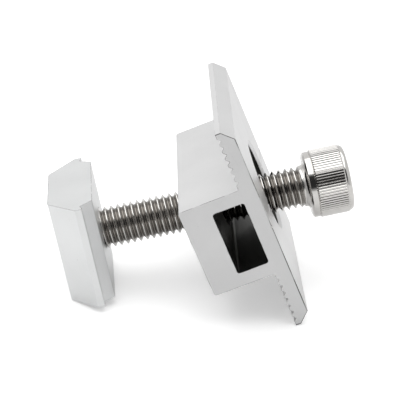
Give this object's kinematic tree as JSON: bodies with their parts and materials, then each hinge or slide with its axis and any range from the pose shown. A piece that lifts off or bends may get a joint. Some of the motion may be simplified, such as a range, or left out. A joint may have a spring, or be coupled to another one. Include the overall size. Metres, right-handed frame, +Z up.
{
  "type": "solar mid clamp",
  "caption": "Serrated aluminium mid clamp on an M8 socket head bolt with a rail nut, holds two solar panels to a mounting rail",
  "frame": {"origin": "on the ground, under the middle of the whole as it lies at rest", "axes": "+X from the rail nut towards the bolt head, +Y along the clamp's length, +Z up"},
  "size_m": [0.058, 0.0412, 0.0375],
  "materials": {
    "anodised_aluminium": "satin",
    "stainless_steel": "satin"
  },
  "bodies": {
    "bolt": {"bolt": "stainless_steel"},
    "clamp": {"clamp_body": "anodised_aluminium"},
    "nut": {"rail_nut": "anodised_aluminium"}
  },
  "joints": [
    {"name": "clamp_slide", "type": "slide", "parent": "bolt", "child": "clamp", "axis": [0.9817, 0, 0.1902], "range_m": [-0.015, 0.0058]},
    {"name": "nut_turn", "type": "hinge", "parent": "bolt", "child": "nut", "pos_m": [-0.02313, 0.00031, 0.01058], "axis": [0.9817, 0, 0.1902], "continuous": true}
  ]
}
